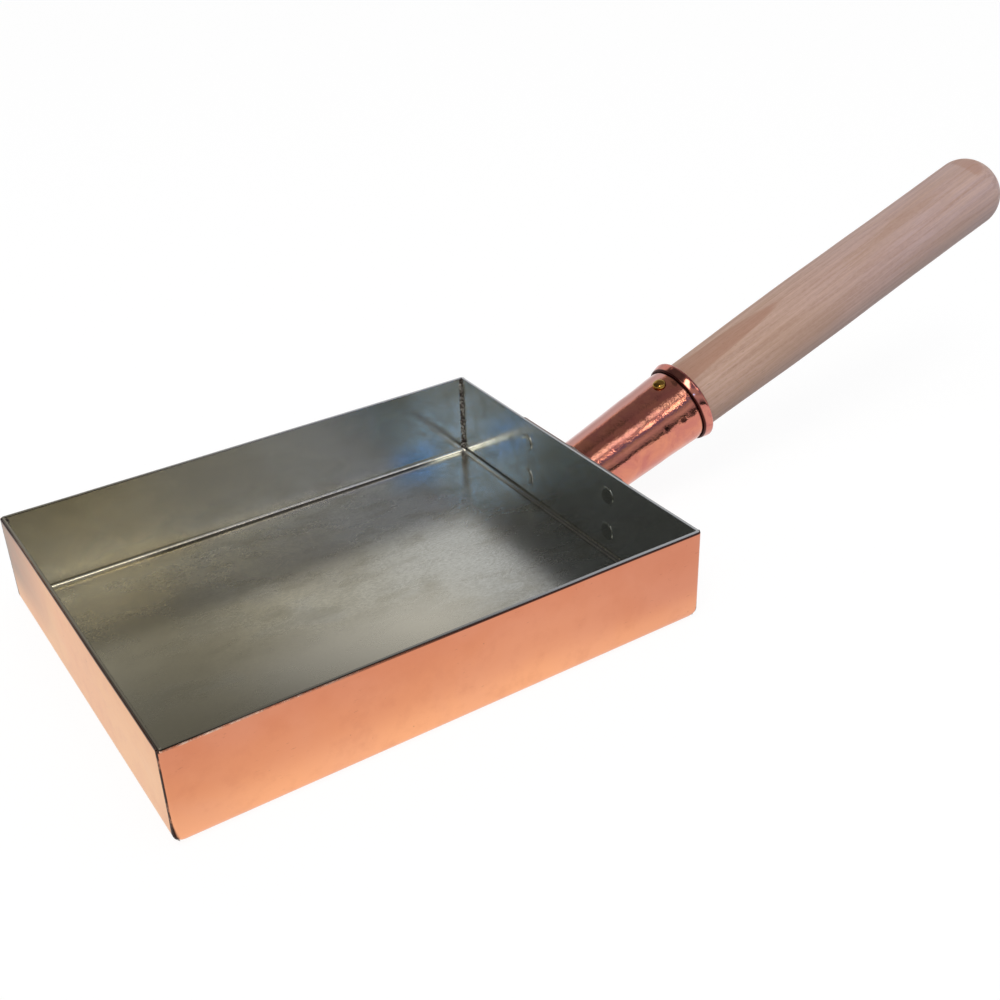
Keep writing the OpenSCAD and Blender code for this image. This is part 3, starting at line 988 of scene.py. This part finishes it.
def low_dome(width, high, seed, edge):
    """Section of a hand-set head: an edge rounded over some width, then an almost flat crown."""
    out_of_round = 0.03
    crown = 0.12 * high * (1 - edge / width)
    inside = width - edge
    pole = 0.02 * width
    edge_steps = 8
    crown_steps = 5

    def section(angle):
        place = Vector((math.cos(angle) * 1.3 + seed, math.sin(angle) * 1.3, seed))
        outside = width * (1 + out_of_round * noise.noise(place))
        rings = []
        for step in range(edge_steps):
            turn = math.pi / 2 * step / edge_steps
            rings.append((outside - edge * (1 - math.cos(turn)), (high - crown) * math.sin(turn)))
        for step in range(1, crown_steps):
            part = 1 - step / crown_steps
            rings.append((inside * part + pole, high - crown * part ** 2))
        return rings + [(pole, high)]

    return section


def wall_rivet(name, rise, side):
    """A rivet: low head inside, shank through wall and plate, domed head outside."""
    seed = rise * 3 + side * 7
    inside = HALF_LENGTH - LINED
    outer = low_dome(RIVET_HEAD, OUTER_HEAD, seed, 0.9 * RIVET_HEAD)
    inner = low_dome(RIVET_HEAD, INNER_HEAD, seed + 2, INNER_EDGE)
    clamped = PLATE_FACE - inside
    under_head = 0.97 * RIVET_HEAD
    lift = HAIR / 2

    def section(angle):
        rings = [(radius, -high) for radius, high in reversed(inner(angle))]
        rings += [(under_head, lift), (RIVET_SHANK, lift)]
        rings += [(RIVET_SHANK, clamped - lift), (under_head, clamped - lift)]
        rings += [(radius, clamped + high) for radius, high in outer(angle)]
        return rings

    points, faces = ring_mesh(section, 48, closed=False)
    height = JOINT_HEIGHT - RIVET_DROP + rise * RIVET_RISE / 2
    middle = Vector((HALF_LENGTH, side * RIVET_SPREAD / 2, height))
    sway = sheet_sway(middle).x - HALF_LENGTH
    turned = Matrix.Translation((inside + sway, middle.y, middle.z)) @ Matrix.Rotation(math.pi / 2, 4, "Y")
    make_piece(name + "_set", points, faces, RIVET_METAL, [name], turned)


handle_plate()
for rise, rise_name in ((1, "upper"), (-1, "lower")):
    for side, side_name in ((1, "left"), (-1, "right")):
        wall_rivet(f"rivet_{rise_name}_{side_name}", rise, side)

# Socket, fillet, ring, nail and wood


def socket_radius(along):
    """Outside radius of the tapered tube at a distance from the plate's face."""
    return SOCKET_BASE + (SOCKET_MOUTH - SOCKET_BASE) * along / SOCKET_LENGTH


def foot_along(angle, radius_extra=0.0, standoff=0.0):
    """Distance along the handle at which the socket's face, grown a little, stands off the plate."""
    slope = (SOCKET_MOUTH - SOCKET_BASE) / SOCKET_LENGTH
    lean = math.sin(HANDLE_ANGLE) * math.cos(angle)
    return (standoff - lean * (SOCKET_BASE + radius_extra)) / (math.cos(HANDLE_ANGLE) + lean * slope)


def copper_socket():
    """The planished tube: smooth at its foot and under the ring, with its dents in between."""
    steps = 130
    inner_steps = 24
    lip = 0.35 * MM
    blow_depth = 0.13 * MM
    smooth_foot = 6 * MM
    smooth_mouth = (7 * MM, 5 * MM)
    deeper_blows = (5 * MM, 40 * MM)
    end = SOCKET_LENGTH

    def section(angle):
        start = foot_along(angle)
        rings = []
        for step in range(steps + 1):
            along = start + (end - lip - start) * step / steps
            worked = smoothstep(start, start + smooth_foot, along)
            worked *= 1 - smoothstep(end - smooth_mouth[0], end - smooth_mouth[1], along)
            depth = blow_depth * (0.35 + 0.65 * smoothstep(*deeper_blows, along))
            relief = hammered(angle, along, depth) * worked - dented(angle, along)
            rings.append((socket_radius(along) + relief, along))
        rings += arc((socket_radius(end) - lip, end - lip), lip, 0, 90, 4)[1:]
        inner_start = foot_along(angle, -SOCKET_WALL)
        inner = [end - (end - inner_start) * step / inner_steps for step in range(inner_steps + 1)]
        rings += [(socket_radius(along) - SOCKET_WALL, along) for along in inner]
        return rings

    points, faces = ring_mesh(section, 220)
    nodes = ["handle_socket"]
    make_piece("copper_socket", points, faces, POLISHED_COPPER, nodes, handle_frame)


def socket_fillet():
    """Lumpy brazed fillet in the corner between socket and plate, hollow on its face."""
    lumpiness = 0.25
    into_socket = 0.2 * MM
    hollow = 0.42
    steps = 6

    def section(angle):
        leg = BRAZE_LEG * (1 + lumpiness * unevenness(angle, 0.3, 4))
        foot = foot_along(angle)
        high = foot_along(angle, 0, min(leg, BRAZE_LEG))
        top = (socket_radius(high) - HAIR, high)
        corner = (socket_radius(foot) - into_socket, foot)
        edge = (SOCKET_BASE + leg, foot_along(angle, leg))
        middle = [hollow * c + (1 - hollow) / 2 * (t + e) for c, t, e in zip(corner, top, edge)]
        rings = [corner]
        for step in range(steps + 1):
            part = step / steps
            shares = ((1 - part) ** 2, 2 * part * (1 - part), part ** 2)
            rings.append(tuple(sum(map(mul, shares, values)) for values in zip(top, middle, edge)))
        return rings

    points, faces = ring_mesh(section, 160)
    make_piece("socket_fillet", points, faces, BRAZE, ["socket_braze"], handle_frame)


def mouth_ring():
    """Rolled lip round the mouth; its face falls towards the pan and folds under there."""
    end = SOCKET_LENGTH - RING_SETBACK
    start = end - RING_WIDTH
    outside = socket_radius(SOCKET_LENGTH) + RING_HEIGHT
    fall = math.degrees(math.atan2(RING_FALL, RING_WIDTH - RING_LIP - RING_ROLL))
    foot = start + 1.1 * MM
    foot_height = 0.12 * MM
    lip_start = start + RING_LIP + 0.1 * MM
    crown = 0.05 * MM
    height_play = 0.07 * MM
    edge_play = 0.12 * MM
    face_steps = 8
    inner_steps = 6

    def section(angle):
        """Outline of the ring as (along, radius), turned round at the end."""
        play = unevenness(angle, 1.7, 2.2)
        drop = height_play * (1 - play)
        slack = edge_play * unevenness(angle, 6, 3)
        low = (lip_start + slack, outside - RING_FALL - RING_LIP - drop)
        high = (end - RING_ROLL, outside - RING_ROLL - drop)
        lip = arc(low, RING_LIP, 230, 90 + fall, 7)
        roll = arc(high, RING_ROLL, 90 + fall, 0, 9)
        outline = [(foot, socket_radius(foot)), (foot, socket_radius(foot) + foot_height)] + lip
        for step in range(1, face_steps):
            part = step / face_steps
            along = lip[-1][0] * (1 - part) + roll[0][0] * part
            radius = lip[-1][1] * (1 - part) + roll[0][1] * part
            outline.append((along, radius + crown * math.sin(math.pi * part)))
        outline += roll
        for step in range(inner_steps):
            along = end - (end - foot) * step / inner_steps
            outline.append((along, socket_radius(along)))
        return [(radius, along) for along, radius in outline]

    points, faces = ring_mesh(section, 220)
    make_piece("mouth_ring", points, faces, RING_COPPER, ["socket_collar"], handle_frame)


def wooden_grip():
    """The round handle: a tapered tang, a swelling grip shaved by hand, and a round end."""
    mouth = socket_radius(SOCKET_LENGTH) - SOCKET_WALL - TANG_GAP
    tip = SOCKET_LENGTH + GRIP_LENGTH - HAIR
    shoulder = tip - ROUND_END
    tang_start = SOCKET_LENGTH - TANG_LENGTH
    bevelled = tang_start + TANG_BEVEL
    shaving = 0.12 * MM
    shaving_length = 22 * MM
    unshaved = 8 * MM
    waist_reach = (130 * MM, 216 * MM)
    pole = 0.3 * MM
    steps = 110
    end_steps = 26

    def radius_at(along):
        if along <= SOCKET_LENGTH:
            return socket_radius(along) - SOCKET_WALL - TANG_GAP
        part = min((along - SOCKET_LENGTH) / SWELL_LENGTH, 1)
        waist = shaving * math.sin(math.pi * smoothstep(*waist_reach, along))
        return mouth + (GRIP_RADIUS - mouth) * math.sin(math.pi / 2 * part) - waist

    def section(angle):
        rings = [(pole, tang_start), (radius_at(tang_start) - TANG_BEVEL, tang_start)]
        for step in range(steps + 1):
            along = bevelled + (shoulder - bevelled) * step / steps
            shaved = shaving * (unevenness(angle, along / shaving_length) - 0.6)
            shaved *= smoothstep(SOCKET_LENGTH, SOCKET_LENGTH + unshaved, along)
            rings.append((radius_at(along) + shaved, along))
        last = rings[-1][0]
        for step in range(1, end_steps):
            turn = math.pi / 2 * step / end_steps
            rings.append((last * math.cos(turn), shoulder + ROUND_END * math.sin(turn)))
        return rings

    points, faces = ring_mesh(section, 144, closed=False)
    make_piece("wooden_grip", points, faces, PLAIN_WOOD, ["wood_handle"], handle_frame)


def brass_nail():
    """A nail with a hand-struck domed head, driven in from the socket's upper side."""
    station = SOCKET_LENGTH - NAIL_SETBACK
    seat = socket_radius(station + NAIL_HEAD)
    tip = seat - NAIL_LENGTH
    under_head = seat - 0.1 * MM
    rim = seat + NAIL_RIM
    blunt_tip = 0.2 * MM
    fullness = 0.85
    steps = 12

    def section(angle):
        head = NAIL_HEAD * (1 + 0.02 * unevenness(angle, 4))
        rings = [(blunt_tip, tip), (NAIL_SHANK, tip + NAIL_POINT), (NAIL_SHANK, under_head)]
        rings += [(NAIL_HEAD * 0.9, under_head), (head, rim)]
        for step in range(1, steps):
            turn = math.pi / 2 * step / steps
            high = rim + (NAIL_HEAD_HEIGHT - NAIL_RIM) * math.sin(turn)
            rings.append((head * math.cos(turn) ** fullness, high))
        return rings

    points, faces = ring_mesh(section, 48, closed=False)
    turned = handle_frame @ Matrix.Rotation(NAIL_TURN, 4, "Z")
    turned = turned @ Matrix.Translation((0, 0, station)) @ Matrix.Rotation(-math.pi / 2, 4, "Y")
    make_piece("brass_nail", points, faces, NAIL_BRASS, ["handle_nail"], turned)


copper_socket()
socket_fillet()
mouth_ring()
wooden_grip()
brass_nail()

# Floor, room and lamp

FLOOR_REACH = 4.0
FLOOR_DROP = 0.2 * MM
FLOOR_GREY = 0.6
FLOOR_GLOW = 1.15
GLOW_SHARE = 0.8
LAMP_PLACE = Vector((-0.2, -0.3, 1.3))
LAMP_TARGET = Vector((0.05, 0, 0))
LAMP_SIZE = 1.2
LAMP_RADIANCE = 1.21

# The lens and place of the camera, solved from the photograph
LENS = 48.44
CAMERA_PLACE = (-0.16478, -0.35777, 0.27218)
CAMERA_TURNS = (59.495, 1.592, -33.496)

# Light of the room by height in degrees: behind the camera, beyond the pan, and over the dark horizon that
# the socket's lower side reflects
BEHIND_CAMERA = (
    (0, (0.5, 0.5, 0.52)),
    (18, (0.56, 0.57, 0.6)),
    (24.3, (0.58, 0.59, 0.62)),
    (27.9, (0.38, 0.39, 0.4)),
    (31.5, (0.38, 0.39, 0.41)),
    (35.1, (0.2, 0.24, 0.46)),
    (45, (0.21, 0.22, 0.4)),
    (63, (0.24, 0.22, 0.23)),
)
BEYOND_PAN = (
    (0, (0.78, 0.78, 0.78)),
    (18, (0.78, 0.78, 0.78)),
    (25.2, (0.92, 0.92, 0.9)),
    (35.55, (0.9, 0.9, 0.88)),
    (37.8, (0.23, 0.23, 0.24)),
    (90, (0.22, 0.21, 0.22)),
)
DARK_HORIZON = (
    (0, (0.01, 0.01, 0.01)),
    (5.4, (0.01, 0.01, 0.01)),
    (6.75, (0.22, 0.22, 0.25)),
    (18, (0.56, 0.57, 0.6)),
)

# Patches of the room, laid one over another. Their turn round the pan and their height are in degrees: where
# a patch starts, is full, starts to fade and is gone. None leaves that side open.
PATCHES = (
    ("screen", (76, 78, 91, 93), (32.3, 33.7, 40.3, 41.7), (0.9, 0.9, 0.88)),
    ("card", (43, 49, 63, 69), (27.5, 32.5, 36.5, 41.5), (0.68, 0.68, 0.67)),
    ("dark_room_behind", (92, 106, None, None), (8, 16, None, None), (0.09, 0.09, 0.09)),
    ("ceiling_slit", (82, 86, 102, 106), (41, 43, 44, 48.5), (0.5, 0.48, 0.42)),
    ("lit_wall", (-170, -160, -100, -90), (29, 33, 44, 48), (0.52, 0.54, 0.54)),
    ("dark_wall", (None, None, -128.5, -124.2), (18, 22, 31, 35), (0.14, 0.14, 0.14)),
    ("window", (-123, -121, -116.6, -114.6), (24.2, 25.8, 29.8, 31.4), (1.25, 1.4, 1.55)),
    ("window_pane", (-121.6, -120.2, -117.7, -116.3), (27.3, 28.3, 29.1, 30.1), (1.5, 5.2, 11.5)),
    ("high_lamp", (-107, -101, -83, -77), (54.5, 58, 62, 72), (2.1, 2.5, 2.4)),
    ("strip_lamp", (-80.3, -78.7, -44.8, -43.2), (42, 44.5, 48, 53), (3.4, 3.2, 2.8)),
    ("lamp_by_strip", (-108, -104, -95, -91), (43.5, 46.5, 51.5, 54.5), (2.6, 2.5, 2.2)),
    ("side_lamp", (-160, -154, -134, -128), (42, 46, 66, 70), (5.2, 5.0, 4.4)),
)
WINDOW_BLUE = (0.9, 1.5, 2.4, 1)
STRIP_END = (6.6, 6.3, 5.2, 1)
DIM_CEILING = (0.1, 0.1, 0.1, 1)


def pale_floor():
    """White where it is seen, a softer grey where it lights the pan; it keeps the pan's shadow."""
    finish = bpy.data.materials.new("pale_floor")
    finish.use_nodes = True
    bench = Bench(finish.node_tree)
    matt = bench.add("ShaderNodeBsdfDiffuse", None, {"Color": (FLOOR_GREY, FLOOR_GREY, FLOOR_GREY, 1)})
    bright = bench.add("ShaderNodeEmission", None, {"Color": (1, 1, 1, 1), "Strength": FLOOR_GLOW})
    camera = bench.add("ShaderNodeLightPath", output="Is Camera Ray")
    glossy = bench.add("ShaderNodeLightPath", output="Is Glossy Ray")
    through = bench.add("ShaderNodeLightPath", output="Is Transmission Ray")
    seen = bench.least(camera + glossy + through, 1.0)
    mixed = bench.add("ShaderNodeMixShader", None, {0: seen * GLOW_SHARE, 1: matt, 2: bright})
    bench.add("ShaderNodeOutputMaterial", None, {"Surface": mixed})
    corners = [(-1, -1), (1, -1), (1, 1), (-1, 1)]
    mesh = bpy.data.meshes.new("floor")
    mesh.from_pydata([(x * FLOOR_REACH, y * FLOOR_REACH, 0) for x, y in corners], [], [(0, 1, 2, 3)])
    mesh.materials.append(finish)
    floor = bpy.data.objects.new("floor", mesh)
    floor.location = (0, 0, -FLOOR_DROP)
    bpy.context.scene.collection.objects.link(floor)


def room_light():
    """A plain dim room with a bluish window and lamps behind the camera, and a pale side beyond the pan."""
    world = bpy.data.worlds.new("room")
    world.use_nodes = True
    bpy.context.scene.world = world
    bench = Bench(world.node_tree)
    spot = bench.add("ShaderNodeTexCoord", output="Generated")
    x = bench.axis(spot, "X")
    y = bench.axis(spot, "Y")
    z = bench.axis(spot, "Z")
    degrees = 180 / math.pi
    rise = bench.add("ShaderNodeMath", {"operation": "ARCSINE"}, {0: z}) * degrees
    turn = bench.add("ShaderNodeMath", {"operation": "ARCTAN2"}, {0: y, 1: x}) * degrees

    def by_height(stops):
        return bench.ramp(rise / 90, [(height / 90, light) for height, light in stops])

    low_in_front = bench.band(turn, -104, -65, 2) * bench.climb(rise, 18, 17)
    near = bench.blend(low_in_front, by_height(BEHIND_CAMERA), by_height(DARK_HORIZON))
    room = bench.blend(bench.climb(y, -0.15, 0.15), near, by_height(BEYOND_PAN))

    for name, turns, heights, light in PATCHES:
        patch = bench.plateau(turn, *turns) * bench.plateau(rise, *heights)
        light = (*light, 1)
        if name == "window":
            light = bench.blend(bench.climb(rise, 27.2, 28.2), light, WINDOW_BLUE)
        if name == "strip_lamp":
            dim_middle = bench.climb(turn, -72.5, -69) * bench.climb(turn, -52.8, -54.2)
            patch = patch * (1 - 0.78 * dim_middle)
            light = bench.blend(bench.climb(turn, -72.5, -75.5), light, STRIP_END)
        room = bench.blend(patch, room, light)

    left_side = bench.climb(turn, -152, -158) + bench.climb(turn, 120, 130)
    room = bench.blend(left_side * bench.climb(rise, 36, 42) * 0.8, room, DIM_CEILING)
    glow = bench.add("ShaderNodeBackground", None, {"Color": room, "Strength": 1.0})
    bench.add("ShaderNodeOutputWorld", None, {"Surface": glow})


def overhead_lamp():
    """Large square lamp over the pan; only matt surfaces show it, and the metals reflect the room alone."""
    data = bpy.data.lights.new("overhead_lamp", "AREA")
    data.shape = "RECTANGLE"
    data.size = LAMP_SIZE
    data.size_y = LAMP_SIZE
    data.energy = LAMP_RADIANCE * math.pi * LAMP_SIZE ** 2
    lamp = bpy.data.objects.new("overhead_lamp", data)
    lamp.location = LAMP_PLACE
    lamp.rotation_euler = (LAMP_TARGET - LAMP_PLACE).to_track_quat("-Z", "Y").to_euler()
    lamp.visible_glossy = False
    lamp.visible_camera = False
    bpy.context.scene.collection.objects.link(lamp)


def photo_camera():
    """Camera where the photograph was taken from."""
    data = bpy.data.cameras.new("camera")
    data.sensor_width = 36
    data.lens = LENS
    data.clip_start = 0.01
    camera = bpy.data.objects.new("camera", data)
    camera.location = CAMERA_PLACE
    camera.rotation_euler = Euler([math.radians(turn) for turn in CAMERA_TURNS])
    bpy.context.scene.collection.objects.link(camera)
    bpy.context.scene.camera = camera


pale_floor()
room_light()
overhead_lamp()
photo_camera()
bpy.context.scene.view_settings.view_transform = "Standard"
